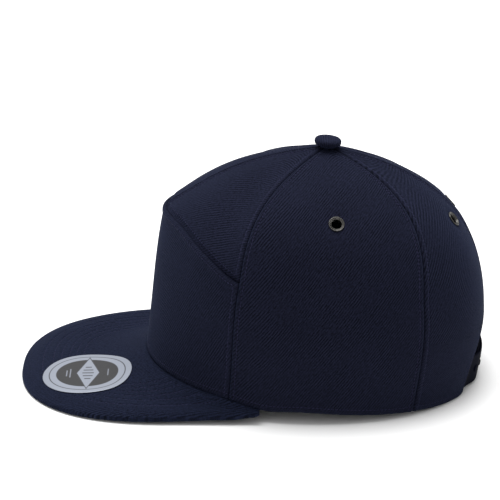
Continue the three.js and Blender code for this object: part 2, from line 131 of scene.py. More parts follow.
class Wire:  # one output of a node, on which sums can be written
    def __init__(self, paint, out):
        self.paint = paint
        self.out = out

    def calc(self, operation, first, second=None):
        values = {0: first} if second is None else {0: first, 1: second}
        return self.paint.node("ShaderNodeMath", {"operation": operation}, values)

    def __add__(self, other):
        return self.calc("ADD", self, other)

    __radd__ = __add__

    def __sub__(self, other):
        return self.calc("SUBTRACT", self, other)

    def __rsub__(self, other):
        return self.calc("SUBTRACT", other, self)

    def __mul__(self, other):
        return self.calc("MULTIPLY", self, other)

    __rmul__ = __mul__

    def __truediv__(self, other):
        return self.calc("DIVIDE", self, other)

    def __pow__(self, other):
        return self.calc("POWER", self, other)

    def __abs__(self):
        return self.calc("ABSOLUTE", self)

    def whole(self):
        return self.calc("FLOOR", self)

    def wave(self):  # 0 to 1, with a crest at each whole number
        return self.calc("COSINE", self * (2 * math.pi)) * 0.5 + 0.5

    def bell(self, middle, width):  # 1 at the middle, falling off to both sides
        away = (self - middle) / width
        return self.calc("POWER", math.e, away * away * -1)

    def ease(self, low, high):  # 0 under low, 1 over high
        settings = {"interpolation_type": "SMOOTHSTEP"}
        sockets = {"Value": self, "From Min": low, "From Max": high}
        return self.paint.node("ShaderNodeMapRange", settings, sockets)


class Paint:  # a material in the making
    def __init__(self, name):
        self.material = bpy.data.materials.new(name)
        self.material.use_nodes = True
        self.tree = self.material.node_tree
        self.shader = self.tree.nodes["Principled BSDF"]

    def node(self, kind, settings=None, sockets=None, output=0):
        made = self.tree.nodes.new(kind)
        for key, value in (settings or {}).items():
            setattr(made, key, value)
        for key, value in (sockets or {}).items():
            self.plug(made.inputs[key], value)
        return Wire(self, made.outputs[output])

    def plug(self, socket, value):
        if isinstance(value, Wire):
            self.tree.links.new(value.out, socket)
        else:
            socket.default_value = value

    def set(self, **values):
        names = {"colour": "Base Color", "roughness": "Roughness", "metallic": "Metallic", "normal": "Normal",
                 "specular": "Specular IOR Level", "sheen": "Sheen Weight", "sheenTint": "Sheen Tint",
                 "sheenRoughness": "Sheen Roughness"}
        for key, value in values.items():
            self.plug(self.shader.inputs[names[key]], value)

    def uv(self, layer):
        return self.node("ShaderNodeUVMap", {"uv_map": layer})

    def place(self):
        return self.node("ShaderNodeTexCoord", output="Object")

    def apart(self, vector):
        made = self.tree.nodes.new("ShaderNodeSeparateXYZ")
        self.plug(made.inputs[0], vector)
        return [Wire(self, out) for out in made.outputs]

    def attribute(self, name):
        return self.node("ShaderNodeAttribute", {"attribute_name": name}, output="Fac")

    def noise(self, vector, scale, detail=2, roughness=0.5):
        sockets = {"Vector": vector, "Scale": scale, "Detail": detail, "Roughness": roughness}
        return self.node("ShaderNodeTexNoise", {"noise_dimensions": "3D"}, sockets, "Fac")

    def mix(self, share, first, second):
        made = self.tree.nodes.new("ShaderNodeMix")
        made.data_type = "RGBA"
        self.plug(made.inputs["Factor"], share)
        for socket, value in (("A", first), ("B", second)):
            self.plug([s for s in made.inputs if s.name == socket and s.type == "RGBA"][0], value)
        return Wire(self, [s for s in made.outputs if s.type == "RGBA"][0])

    def bump(self, height, distance, under=None):
        sockets = {"Height": height, "Distance": distance}
        if under is not None:
            sockets["Normal"] = under
        return self.node("ShaderNodeBump", {}, sockets)


crown = {  # the shape of the crown, as in the CAD
    "hemLength": 203.8,
    "hemWidth": 164,
    "backSquareness": 2.15,
    "height": 138.9,
    "creaseHeight": 93,
    "buttonForward": 3.4,
    "wall": 1.6,
    "gap": 0.3,
    "topHole": 3,
    "sweepPower": 1.4,
    "leaveBend": 0.93,
    "meetButton": 1.62,
    "offset": (0, 36.22604, 7.8116),  # from the tipped cap to its place on the table
    # turn, crease, reach, hemLean, lowLean, highLean, peak
    "meridians": [
        (0, 1, 0.96, 3, 8, 53.5, 11.4),
        (20, 0.988, 0.934, 2.5, 9, 45, 13.2),
        (38, 0.907, 0.967, 2, 8, 36.5, 15.7),
        (57, 0.8, 1.006, 1, 10.2, 10.2, 17),
        (90, 0.763, 0.976, -1, 13, 13, 14.3),
        (126, 0.731, 0.984, -3, 14.6, 14.6, 12.8),
        (155, 0.71, 0.988, -4.6, 15.2, 15.2, 11.7),
        (180, 0.71, 0.968, -6, 15, 15, 7.5),
    ],
    "frontSeam": (56.5, -12),  # turn, and swing on the way to the button
    "backSeam": (132.8, 20),
    "archWidth": 80,
    "archHeight": 43,
    "sag": 2.6,  # the visor's corners pull the hem down a little
    "sagTurn": 72,
    "sagWidth": 11,
    "sagLevel": 0.35,
    "turnSteps": 721,
}

hands = (("left", 1), ("right", -1))


def hermite(p, q, slopeP, slopeQ, t):
    a, b = t ** 3, t ** 2
    return (2 * a - 3 * b + 1) * p + (a - 2 * b + t) * slopeP + (3 * b - 2 * a) * q + (a - b) * slopeQ


def smooth(x, low, high):
    t = np.clip((x - low) / (high - low), 0, 1)
    return t * t * (3 - 2 * t)


def bell(x, middle, width):
    return np.exp(-(((x - middle) / width) ** 2))


def crownTable():  # the meridians' columns and the hem's reach, every quarter of a degree
    rows, steps = np.array(crown["meridians"], float), crown["turnSteps"]
    turns = np.linspace(0, 180, steps)
    index = np.clip(np.searchsorted(rows[:, 0], turns, side="left") - 1, 0, len(rows) - 2)
    span = rows[index + 1, 0] - rows[index, 0]
    share = (turns - rows[index, 0]) / span
    columns = []
    for c in range(1, rows.shape[1]):
        slope = np.zeros(len(rows))
        slope[1:-1] = (rows[2:, c] - rows[:-2, c]) / (rows[2:, 0] - rows[:-2, 0])
        slopeP, slopeQ = span * slope[index], span * slope[index + 1]
        columns.append(hermite(rows[index, c], rows[index + 1, c], slopeP, slopeQ, share))
    low, high = np.zeros(steps), np.full(steps, float(crown["hemLength"]))
    for _ in range(40):
        middle = (low + high) / 2
        x = middle * np.sin(np.radians(turns)) / (crown["hemWidth"] / 2)
        y = (-crown["buttonForward"] - middle * np.cos(np.radians(turns))) / (crown["hemLength"] / 2)
        power = np.where(y > 0, crown["backSquareness"], 2)
        outside = np.abs(x) ** power + np.abs(y) ** power > 1
        high = np.where(outside, middle, high)
        low = np.where(outside, low, middle)
    return {"turns": turns, "columns": columns, "hem": (low + high) / 2}


table = crownTable()


def meridian(turn, level):  # distance from the button's axis and height: level 0 hem, 1 bend, 2 button
    side = 180 - np.abs(180 - np.abs(turn))
    look = lambda values: np.interp(side, table["turns"], values)
    crease, reachShare, hemLean, lowLean, highLean, peak = [look(c) for c in table["columns"]]
    hem = look(table["hem"])
    bendReach, bendHeight = reachShare * hem, crease * crown["creaseHeight"]
    low = np.clip(level, -0.2, 1)
    chord = np.hypot(hem - bendReach, bendHeight)
    start, end = np.radians(hemLean), np.radians(lowLean)
    lowReach = hermite(hem, bendReach, -chord * np.sin(start), -chord * np.sin(end), low)
    lowHeight = hermite(0, bendHeight, chord * np.cos(start), chord * np.cos(end), low)
    high = np.clip(level - 1, 0, 1)
    chord = np.hypot(bendReach, crown["height"] - bendHeight)
    start, end = np.radians(highLean), np.radians(peak)
    leave, meet = crown["leaveBend"] * chord, crown["meetButton"] * chord
    highReach = hermite(bendReach, 0, -leave * np.sin(start), -meet * np.cos(end), high)
    highHeight = hermite(bendHeight, crown["height"], leave * np.cos(start), meet * np.sin(end), high)
    return np.where(level <= 1, lowReach, highReach), np.where(level <= 1, lowHeight, highHeight)


def hemSag(turn):
    return crown["sag"] * bell(np.abs(turn), crown["sagTurn"], crown["sagWidth"])


def crownPoint(turn, level):
    reach, height = meridian(turn, level)
    height = height - hemSag(turn) * (1 - smooth(level, 0, crown["sagLevel"]))
    angle = np.radians(turn)
    return np.stack([reach * np.sin(angle), -crown["buttonForward"] - reach * np.cos(angle), height], -1)


def crownNormal(turn, level):
    across = crownPoint(turn + 0.5, level) - crownPoint(turn - 0.5, level)
    up = crownPoint(turn, level + 0.01) - crownPoint(turn, level - 0.01)
    normal = np.cross(across, up)
    return normal / np.linalg.norm(normal, axis=-1, keepdims=True)


def levelNormal(turn, level):  # the normal, but level along the hem
    normal = crownNormal(turn, level)
    normal[np.asarray(level) <= 1e-6, 2] = 0
    return normal / np.linalg.norm(normal, axis=-1, keepdims=True)


def insetPoint(turn, level, inset):
    inset = np.asarray(inset, float)[..., None]
    return crownPoint(turn, level) - levelNormal(turn, level) * inset


def solveLevel(turn, wanted, part, low, high):  # level for a wanted reach (part 0) or height (part 1)
    turn, wanted = np.broadcast_arrays(np.asarray(turn, float), np.asarray(wanted, float))
    low, high = np.full(turn.shape, float(low)), np.full(turn.shape, float(high))
    rising = part == 1
    for _ in range(36):
        middle = (low + high) / 2
        short = (meridian(turn, middle)[part] < wanted) == rising
        low, high = np.where(short, middle, low), np.where(short, high, middle)
    return (low + high) / 2


def reachLevel(turn, reach):
    return solveLevel(turn, reach, 0, 1.2, 2)


def heightLevel(turn, height):
    return solveLevel(turn, height, 1, 0, 1.6)


def seamAt(seam, level):
    turn, swing = crown[seam]
    return turn + swing * np.maximum(0, level - 1) ** crown["sweepPower"]


def archHalf(height):
    return crown["archWidth"] / 2 * np.sqrt(np.maximum(0, 1 - (height / crown["archHeight"]) ** 2))


def atBack(values):
    return np.full(np.shape(values), 180.0)


def backLevel(height):
    return heightLevel(atBack(height), height)


def perWidth(level):  # degrees for each mm across the back
    return np.degrees(1 / meridian(atBack(level), level)[0])


def archTurn(level):
    return 180 - archHalf(meridian(atBack(level), level)[1]) * perWidth(level)


def halfGap(turn, level):  # degrees by which a panel stands back from its seam
    return np.degrees(crown["gap"] / 2 / np.maximum(meridian(turn, level)[0], crown["topHole"]))


visorShape = {  # the shape of the visor, as in the CAD, and its sewn look
    "length": 75.2, "width": 0.994 * 164, "widest": 17, "cornerTurn": 70, "overhang": 4, "drop": 16,
    "dip": 4.6, "dipFrom": -0.05, "dipShare": 0.11, "sagFrom": 0.85, "fallMiddle": 0.5, "fallen": 0.58,
    "hemSlope": 2.4, "middleSlope": 0.4, "rimSlope": 1.8, "thickness": 3.2, "endTaper": 0.08,
    "endThickness": 0.5, "roundness": 2.4, "frontShare": 0.72,
    "rowsAway": (11.6, 18.1, 23.1, 28, 32.3, 36.6), "groove": 0.34, "grooveWidth": 0.5, "puff": 0.1,
    "puffEnds": (1, 4, 8, 12),  # away from the rim
    "settle": (0.5, 3),  # the relief starts this far from the hem
    "softShare": 0.9, "mostSoft": 0.4, "noseLean": 0.6, "columns": 221, "rows": 104, "noseSteps": 9,
    "firstReach": 0.012, "grain": 8,  # turn of the twill, degrees
}


def visorEdge(share):
    v = visorShape
    corner = crownPoint(np.array([v["cornerTurn"]]), np.array([0.0]))[0]
    tipForward = crown["hemLength"] / 2 + v["length"]
    widestForward = crown["hemLength"] / 2 - v["widest"]
    power, half = 2 / v["roundness"], v["width"] / 2
    along = np.abs(share)
    angle = np.minimum(along / v["frontShare"], 1) * np.pi / 2
    frontX = half * np.sin(angle) ** power
    frontY = widestForward + (tipForward - widestForward) * np.maximum(0, np.cos(angle)) ** power
    angle = np.clip((along - v["frontShare"]) / (1 - v["frontShare"]), 0, 1) * np.pi / 2
    cornerX = corner[0] + v["overhang"]
    rearX = cornerX + (half - cornerX) * np.maximum(0, np.cos(angle)) ** power
    rearY = widestForward + (-corner[1] - widestForward) * np.sin(angle) ** power
    front = along <= v["frontShare"]
    x, forward = np.where(front, frontX, rearX), np.where(front, frontY, rearY)
    fall = np.maximum(0, (forward + corner[1]) / (tipForward + corner[1]))
    z = -crown["gap"] - v["drop"] * fall - v["dip"] * smooth(fall, v["dipFrom"], v["dipShare"])
    z = z - hemSag(share * v["cornerTurn"]) * smooth(along, v["sagFrom"], 1)
    return np.stack([np.where(share < 0, -x, x), -forward, z], -1)


def visorFall(reach):  # share of the fall from hem to rim
    v = visorShape
    middle, rest = v["fallMiddle"], 1 - v["fallMiddle"]
    near = hermite(0, v["fallen"], v["hemSlope"] * middle, v["middleSlope"] * middle, reach / middle)
    far = hermite(v["fallen"], 1, v["middleSlope"] * rest, v["rimSlope"] * rest, (reach - middle) / rest)
    return np.where(reach <= middle, near, far)


def visorPoint(share, reach):
    hem = crownPoint(share * visorShape["cornerTurn"], np.zeros(np.shape(share)))
    hem[..., 2] -= crown["gap"]
    edge = visorEdge(share)
    reach = np.broadcast_to(np.asarray(reach, float), np.shape(share))
    point = hem + (edge - hem) * reach[..., None]
    point[..., 2] = hem[..., 2] + (edge[..., 2] - hem[..., 2]) * visorFall(reach)
    return point


def visorHeight(x, y):  # height of the visor's upper face over a spot
    low, high = np.full(np.shape(x), -0.9), np.full(np.shape(x), 0.9)
    for _ in range(36):
        share = (low + high) / 2
        hem, edge = visorPoint(share, 0), visorPoint(share, 1)
        way = edge - hem
        crossing = way[..., 0] * (y - hem[..., 1]) - way[..., 1] * (x - hem[..., 0])
        high, low = np.where(crossing < 0, share, high), np.where(crossing < 0, low, share)
    hem, edge = visorPoint(share, 0), visorPoint(share, 1)
    run = np.hypot(edge[..., 0] - hem[..., 0], edge[..., 1] - hem[..., 1])
    return visorPoint(share, np.hypot(x - hem[..., 0], y - hem[..., 1]) / run)[..., 2]


def capTilt():  # the cap leans onto the visor's front edge and the hem beside the back opening
    front = visorPoint(np.array([0.0]), 1)[0]
    back = crownPoint(archTurn(np.array([0.0])), np.array([0.0]))[0]
    return math.atan2(visorShape["thickness"] - front[2], back[1] - front[1])


tilt = capTilt()


def onTable(points):
    points = np.asarray(points, float)
    c, s = math.cos(tilt), math.sin(tilt)
    x, y, z = points[..., 0], points[..., 1], points[..., 2]
    moved = np.stack([x, y * c + z * s, z * c - y * s], -1) + np.array(crown["offset"])
    moved[..., 2] = np.maximum(moved[..., 2], 0)
    return moved / 1000


clothLook = {
    "valley": (0.0010, 0.0011, 0.0028, 1), "ridge": (0.0098, 0.0108, 0.0236, 1),
    "fleck": (0.024, 0.026, 0.050, 1), "period": 1.48, "float": 1.5, "bumpDepth": 0.00016, "fibre": 2.4,
    "grainScale": 0.9, "streak": 0.5, "lint": 2.2, "specular": 0.05, "sheen": 0.045,
    "noises": {  # scale, detail and roughness
        "bend": (0.12, 2), "wobble": (0.6, 2), "weft": (0.8, 1), "clear": (0.06, 2, 0.6),
        "lint": (1.9, 2, 0.6), "broad": (0.035, 3), "fleck": (1.3, 2, 0.7),
    },
    "bend": 0.8, "wobble": 0.6, "weftStep": 0.41, "weftShift": 0.8, "clearEnds": (0.3, 0.7),
    "clearLeast": 0.2, "weftDepth": 0.7, "weftLeast": 0.65, "broad": 0.3, "fleckEnds": (0.64, 0.8),
    "fleckShare": 0.5, "fibreBump": 0.5,
}

puckerLook = {
    "away": 3.0, "width": 1.2, "pitch": 2.2, "pull": 0.3, "crumple": 1.1, "crumpleScale": 0.26,
    # the last two settings paint shade along the seam line: how wide the painted shade is and how dark it
    # gets
    "crumpleEnds": (0.5, 10), "depth": 0.0006, "seamShadeWidth": 0.3, "paintedSeamShade": 0.5,
}


def makeTwill(name, look, puckers=True):
    paint = Paint(name)
    flat = paint.uv("cloth")
    along, across, _ = paint.apart(flat)
    noises = {part: paint.noise(flat, *values) for part, values in look["noises"].items()}
    line = (across + (noises["bend"] * look["bend"] + noises["wobble"] * look["wobble"])) / look["period"]
    weft = (along / look["float"] + line.whole() * look["weftStep"]
            + noises["weft"] * look["weftShift"]).wave()
    # the ridges show more in some places
    clear = noises["clear"].ease(*look["clearEnds"]) + look["clearLeast"]
    ridge = (line.wave() - 0.5) * clear * (weft * look["weftDepth"] + look["weftLeast"]) + 0.5
    streaks = paint.node("ShaderNodeCombineXYZ", {}, {"X": along * look["streak"], "Y": across})
    fibre = paint.noise(streaks, look["grainScale"], 3, 0.75) - 0.5
    lint, broad = noises["lint"] - 0.5, noises["broad"] - 0.5
    shade = ridge + fibre * look["fibre"] + lint * look["lint"] + broad * look["broad"]
    colour = paint.mix(shade, look["valley"], look["ridge"])
    colour = paint.mix(noises["fleck"].ease(*look["fleckEnds"]) * look["fleckShare"], colour, look["fleck"])
    normal = paint.bump(ridge + fibre * look["fibreBump"], look["bumpDepth"])
    if puckers:
        p = puckerLook
        away, run = paint.attribute("seamAway"), paint.attribute("seamRun")
        pull = away.bell(p["away"], p["width"]) * (run / p["pitch"]).wave()
        crumple = paint.noise(flat, p["crumpleScale"], 2) * (1 - away.ease(*p["crumpleEnds"]))
        normal = paint.bump(crumple * p["crumple"] - pull * p["pull"], p["depth"], normal)
        # painted shade: along each seam line the cloth colour darkens towards the twill's valley colour,
        # standing in for the shade in the seam's groove
        colour = paint.mix(away.bell(0, p["seamShadeWidth"]) * p["paintedSeamShade"], colour, look["valley"])
    paint.set(colour=colour, roughness=0.95, specular=look["specular"], normal=normal, sheen=look["sheen"],
              sheenRoughness=0.6, sheenTint=(0.32, 0.46, 1.0, 1))
    return paint.material


smallLook = {
    "threadDark": (0.0105, 0.0102, 0.028, 1), "threadLight": (0.028, 0.0265, 0.068, 1),
    "nickelDark": (0.032, 0.031, 0.029, 1), "nickelLight": (0.10, 0.097, 0.092, 1),
    "plasticDark": (0.0018, 0.0023, 0.0068, 1), "plasticLight": (0.0028, 0.0035, 0.0095, 1),
}


def makeThread():
    paint = Paint("sewingThread")
    twist = paint.noise(paint.place(), 900, 2)
    colour = paint.mix(twist, smallLook["threadDark"], smallLook["threadLight"])
    paint.set(colour=colour, roughness=0.75, specular=0.1, normal=paint.bump(twist, 0.0001))
    return paint.material


def makeNickel():
    paint = Paint("eyeletNickel")
    scuff = paint.noise(paint.place(), 1500, 4, 0.7)
    colour = paint.mix(scuff.ease(0.3, 0.7), smallLook["nickelDark"], smallLook["nickelLight"])
    paint.set(colour=colour, metallic=1.0, roughness=scuff * 0.2 + 0.24, normal=paint.bump(scuff, 0.00004))
    return paint.material


def makePlastic():
    paint = Paint("strapPlastic")
    grain = paint.noise(paint.place(), 1500, 2, 0.6)
    cloud = paint.noise(paint.place(), 60, 2)
    colour = paint.mix(cloud, smallLook["plasticDark"], smallLook["plasticLight"])
    paint.set(colour=colour, roughness=grain * 0.15 + 0.6, specular=0.02, normal=paint.bump(grain, 0.00003))
    return paint.material


def makeMaterials():
    visorColours = {"valley": (0.0010, 0.0014, 0.0034, 1), "ridge": (0.0092, 0.0118, 0.0270, 1),
                    "bumpDepth": 0.00014, "fibre": 3.6, "grainScale": 1.0, "streak": 0.55, "lint": 3.4}
    bandColours = {"period": 0.8, "float": 0.7, "bumpDepth": 0.0001}
    return {
        "crown": makeTwill("crownTwill", clothLook),
        "visor": makeTwill("visorTwill", {**clothLook, **visorColours}),
        "button": makeTwill("buttonTwill", {**clothLook, "bumpDepth": 0.0001}, False),
        "band": makeTwill("bandCloth", {**clothLook, **bandColours}, False),
        "thread": makeThread(),
        "metal": makeNickel(),
        "plastic": makePlastic(),
    }


def finishPiece(name, bm, material, replaces=()):
    mesh = bpy.data.meshes.new(name)
    for face in bm.faces:
        face.smooth = True
    bm.to_mesh(mesh)
    bm.free()
    mesh.materials.append(material)
    piece = bpy.data.objects.new(name, mesh)
    bpy.context.scene.collection.objects.link(piece)
    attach(piece, "root")
    if replaces:
        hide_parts(*replaces)
    return piece


def sheetGrid(columns, rows):  # a flat grid, with each vertex's column and row kept on it
    bm = bmesh.new()
    bmesh.ops.create_grid(bm, x_segments=columns - 1, y_segments=rows - 1, size=1)
    column, row = bm.verts.layers.int.new("column"), bm.verts.layers.int.new("row")
    for v in bm.verts:
        v[column] = round((v.co.x + 1) / 2 * (columns - 1))
        v[row] = round((v.co.y + 1) / 2 * (rows - 1))
    return bm


def layUv(bm, name, uvOf):  # uvOf gives a vertex's place in the layer
    layer = bm.loops.layers.uv.new(name)
    for f in bm.faces:
        for loop in f.loops:
            loop[layer].uv = uvOf(loop.vert)


def cutHole(bm, face, back, spot, axis, radius):  # the vertices inside move out to a round edge
    column, row = bm.verts.layers.int["column"], bm.verts.layers.int["row"]
    inHole = np.linalg.norm(face - spot, axis=-1) < radius
    for points in (face, back):
        offset = points - spot
        depth = (offset @ axis)[..., None] * axis
        flat = offset - depth
        size = np.linalg.norm(flat, axis=-1, keepdims=True)
        moved = spot + depth + flat / np.maximum(size, 1e-6) * radius
        points[inHole] = moved[inHole]
    gone = [f for f in bm.faces if all(inHole[v[row], v[column]] for v in f.verts)]
    bmesh.ops.delete(bm, geom=gone, context="FACES")


def thickSheet(face, back, uv, holes=(), marks=None):
    # a wall between two faces, each given by its points in rows and columns; a hole is (spot, axis, radius)
    rows, columns = face.shape[:2]
    bm = sheetGrid(columns, rows)
    for hole in holes:
        cutHole(bm, face, back, *hole)
    side = bm.verts.layers.int.new("side")
    column, row = bm.verts.layers.int["column"], bm.verts.layers.int["row"]
    grown = bmesh.ops.extrude_face_region(bm, geom=bm.faces[:], use_keep_orig=True)
    for v in [g for g in grown["geom"] if isinstance(g, bmesh.types.BMVert)]:
        v[side] = 1
    places = (onTable(face), onTable(back))
    layers = {name: bm.verts.layers.float.new(name) for name in (marks or {})}
    for v in bm.verts:
        r, c = v[row], v[column]
        v.co = places[v[side]][r, c]
        for name, layer in layers.items():
            v[layer] = marks[name][r, c]
    layUv(bm, "cloth", lambda v: uv[v[row], v[column]])
    bmesh.ops.recalc_face_normals(bm, faces=bm.faces[:])
    return bm


def onGrain(u, v, grain):  # along the twill's lines and across them
    c, s = math.cos(math.radians(grain)), math.sin(math.radians(grain))
    return np.stack([u * c + v * s, v * c - u * s], -1)


def gridLengths(points):  # mm along the rows and up the columns
    acrossSteps = np.linalg.norm(np.diff(points, axis=1), axis=-1)
    upSteps = np.linalg.norm(np.diff(points, axis=0), axis=-1)
    across = np.concatenate([np.zeros((len(points), 1)), np.cumsum(acrossSteps, 1)], 1)
    up = np.concatenate([np.zeros((1, points.shape[1])), np.cumsum(upSteps, 0)], 0)
    return across, up


def spunBmesh(profile, steps):  # a profile of (reach, height) turned round the Z axis
    bm = bmesh.new()
    verts = [bm.verts.new((reach, 0, height)) for reach, height in profile]
    edges = [bm.edges.new(pair) for pair in zip(verts, verts[1:])]
    bmesh.ops.spin(bm, geom=verts + edges, cent=(0, 0, 0), axis=(0, 0, 1), angle=2 * math.pi, steps=steps,
                   use_merge=True)
    bmesh.ops.remove_doubles(bm, verts=bm.verts[:], dist=1e-5)
    bmesh.ops.recalc_face_normals(bm, faces=bm.faces[:])
    return bm


def seat(bm, spot, axis):  # moves a spun shape from its own Z axis to a spot and axis on the cap
    turn = Vector((0, 0, 1)).rotation_difference(Vector(axis)).to_matrix()
    for v in bm.verts:
        v.co = onTable(np.array(turn @ v.co) + spot)


panelLook = {
    "edgeSteps": (0, 0.2, 0.45, 0.8, 1.25, 1.8, 2.4, 3.0, 3.6, 4.4), "step": 1.7, "valley": 0.42,
    "valleyWidth": 0.36, "puff": 0.3, "groove": 0.16, "stitchAway": 3.0, "hemRound": 0.8, "hemStitch": 3.6,
    "hemWidth": 0.9,
    "hemGroove": 0.6,  # share of the groove
    "stitchWidth": 0.5, "strip": (0.3, 1.3, 2.2, 3.4),
    "creaseLift": 0.85,  # the front panel's folded top edge stands out
    "liftEnds": (2.6, 6), "creaseCut": 1.7, "cutWidth": 1.1,
    "creaseSink": 1.75,  # and the upper front panels tuck in behind it
    "sinkEnds": (1.2, 4.4), "deepest": 2.4,
    "backFollows": 1.1,  # a deeper sink takes the inner face along
    "drift": 0.35, "driftSize": 26, "driftEnds": (3, 22),
    "sizes": {"front": (150, 96), "upper": (84, 90), "side": (118, 175)},  # about mm wide and long
    "grains": {"front": 62, "upper": 45, "side": 57, "back": 54},
}


def spread(length):  # shares along an edge, close together at both ends
    fine = [d for d in panelLook["edgeSteps"] if d < length / 3]
    inner = length - 2 * fine[-1]
    count = max(2, round(inner / panelLook["step"]))
    middle = [fine[-1] + inner * k / count for k in range(1, count)]
    return np.array(fine + middle + [length - d for d in reversed(fine)]) / length


def edgeRelief(away, kind):  # valleys, raised strips and the pull of the stitches along an edge
    p = panelLook
    stitch = p["groove"] * bell(away, p["stitchAway"], p["stitchWidth"])
    if kind == "hem":
        sewn = p["hemGroove"] * p["groove"] * bell(away, p["hemStitch"], p["stitchWidth"])
        return -p["hemRound"] * bell(away, 0, p["hemWidth"]) - sewn
    if kind == "under":  # the front panel, under the crease
        cut = p["creaseCut"] * bell(away, 0, p["cutWidth"])
        return p["creaseLift"] * (1 - smooth(away, *p["liftEnds"])) - cut - stitch
    if kind == "over":  # the upper front panels, over the crease
        return -p["creaseSink"] * (1 - smooth(away, *p["sinkEnds"])) - stitch
    strip = smooth(away, *p["strip"][:2]) * (1 - smooth(away, *p["strip"][2:]))
    return p["puff"] * strip - p["valley"] * bell(away, 0, p["valleyWidth"]) - stitch


# axis, pace, swing, other axis and its pace
waveTable = ((0, 2.1, 1.7, 2, 1.3), (1, 1.9, 1.3, 0, 1.1), (2, 2.3, 1.9, 1, 0.9))


def waves(points, size, seed):  # slow, even wander of the cloth, between -1 and 1
    p, total = points / size + seed, 0
    for axis, pace, swing, other, otherPace in waveTable:
        total = total + np.sin(p[..., axis] * pace + swing * np.sin(p[..., other] * otherPace))
    return total / len(waveTable)


def clothPanel(name, turn, level, hand, edges, grain, eyelet=None):
    # turn and level hold a value for each row and column; edges lists (away, run, kind) in mm
    look, outer = panelLook, crownPoint(turn, level)
    lift = np.zeros(turn.shape)
    nearest, run = np.full(turn.shape, 99.0), np.zeros(turn.shape)
    inward = np.full(turn.shape, 99.0)
    if eyelet is not None:
        fromEyelet = np.linalg.norm(outer - eyelet[0], axis=-1)
        lift = lift - eyeletLook["dimple"] * (1 - smooth(fromEyelet, *eyeletLook["dimpleEnds"]))
    for away, along, kind in edges:
        lift = lift + edgeRelief(away, kind)
        inward = np.minimum(inward, away)
        closer = (away < nearest) & (kind != "hem")
        nearest, run = np.where(closer, away, nearest), np.where(closer, along, run)
    drift = look["drift"] * waves(outer, look["driftSize"], hand + grain) * smooth(inward, *look["driftEnds"])
    lift = np.maximum(lift, -look["deepest"]) + drift
    face = outer + crownNormal(turn, level) * lift[..., None]
    back = insetPoint(turn, level, crown["wall"] + np.maximum(0, -lift - look["backFollows"]))
    across, up = gridLengths(outer)
    middle = across[:, across.shape[1] // 2][:, None]
    uv = onGrain(hand * (across - middle), up, grain)
    holes = [] if eyelet is None else [(*eyelet, eyeletLook["hole"])]
    bm = thickSheet(face, back, uv, holes, {"seamAway": nearest, "seamRun": run})
    finishPiece(name + "Cloth", bm, materials["crown"], [name])


def panelGrid(fromSeam, toSeam, lowLevel, highLevel, width, length):
    # the panel's turn and level for each row and column, standing back half a gap from its seams
    columnShares, rowShares = spread(width), spread(length)
    guessTurn = (fromSeam(np.array([1.0])) + toSeam(np.array([1.0]))) / 2
    low, high = lowLevel(guessTurn)[0], highLevel(guessTurn)[0]
    guess = low + (high - low) * rowShares
    start, end = fromSeam(guess), toSeam(guess)
    setBack = halfGap(start, guess)
    start, end = start + setBack, end - setBack
    turn = start[:, None] + (end - start)[:, None] * columnShares[None, :]
    low, high = lowLevel(turn), highLevel(turn)
    return turn, low + (high - low) * rowShares[:, None]


def atHem(turn):
    return np.zeros(np.shape(turn))


def atTop(turn):
    return reachLevel(turn, crown["topHole"])


def atCrease(side):
    return lambda turn: np.full(np.shape(turn), 1 + side * crown["gap"] / 2 / crown["creaseHeight"])


def frontAt(level):
    return seamAt("frontSeam", level)


def backAt(level):
    return seamAt("backSeam", level)


def sideSeams(across, up):
    return [(across, up, "seam"), (across[:, -1:] - across, up, "seam")]


def buildFrontPanels():
    grains, sizes = panelLook["grains"], panelLook["sizes"]
    turn, level = panelGrid(lambda v: -frontAt(v), frontAt, atHem, atCrease(-1), *sizes["front"])
    across, up = gridLengths(crownPoint(turn, level))
    edges = sideSeams(across, up) + [(up[-1:, :] - up, across, "under"), (up, across, "hem")]
    clothPanel("front_panel", turn, level, 1, edges, grains["front"])
    for side, hand in hands:
        turn, level = panelGrid(lambda v: v * 0, frontAt, atCrease(1), atTop, *sizes["upper"])
        across, up = gridLengths(crownPoint(turn, level))
        edges = sideSeams(across, up) + [(up, across, "over")]
        clothPanel(f"upper_front_{side}", turn * hand, level, hand, edges, grains["upper"])


eyeletLook = {
    "hole": 3.7,
    "dimple": 0.5,
    "dimpleEnds": (4.8, 9),
    "spots": {"side": (96.5, 0.804 * 138.9), "back": (169, 0.757 * 138.9)},  # turn and height
    "steps": 40,
    "profile": [  # reach and height over the cloth: washer inside, barrel, outer roll, valley, inner roll
        (3.6, -3.1), (4.3, -2.9), (4.35, -2.45), (3.5, -2.2), (3.45, -1.2), (3.45, 0.2), (4.62, 0.1),
        (4.74, 0.28), (4.68, 0.55), (4.48, 0.74), (4.2, 0.72), (4.0, 0.5), (3.86, 0.2), (3.7, 0.08),
        (3.52, 0.2), (3.34, 0.26), (3.16, 0.1), (3.04, -0.3), (2.95, -1.4), (2.9, -2.7), (3.05, -3.05),
        (3.6, -3.1),
    ],
}


def eyeletSpot(kind, hand):
    turn, height = eyeletLook["spots"][kind]
    level = heightLevel(np.array([float(turn)]), height)
    turn = np.array([float(turn * hand)])
    return crownPoint(turn, level)[0], crownNormal(turn, level)[0]


def buildEyelets():
    for kind in eyeletLook["spots"]:
        for side, hand in hands:
            bm = spunBmesh(eyeletLook["profile"], eyeletLook["steps"])
            spot, axis = eyeletSpot(kind, hand)
            seat(bm, spot - axis * eyeletLook["dimple"], axis)
            node = f"eyelet_{kind}_{side}"
            finishPiece(node + "Ring", bm, materials["metal"], [node])


def buildSidePanels():
    for side, hand in hands:
        turn, level = panelGrid(frontAt, backAt, atHem, atTop, *panelLook["sizes"]["side"])
        across, up = gridLengths(crownPoint(turn, level))
        edges = sideSeams(across, up) + [(up, across, "hem")]
        clothPanel(f"side_panel_{side}", turn * hand, level, hand, edges, panelLook["grains"]["side"],
                   eyeletSpot("side", hand))


backLook = {"width": 84, "archRows": 30, "upperRows": 70, "guessTurn": 160}


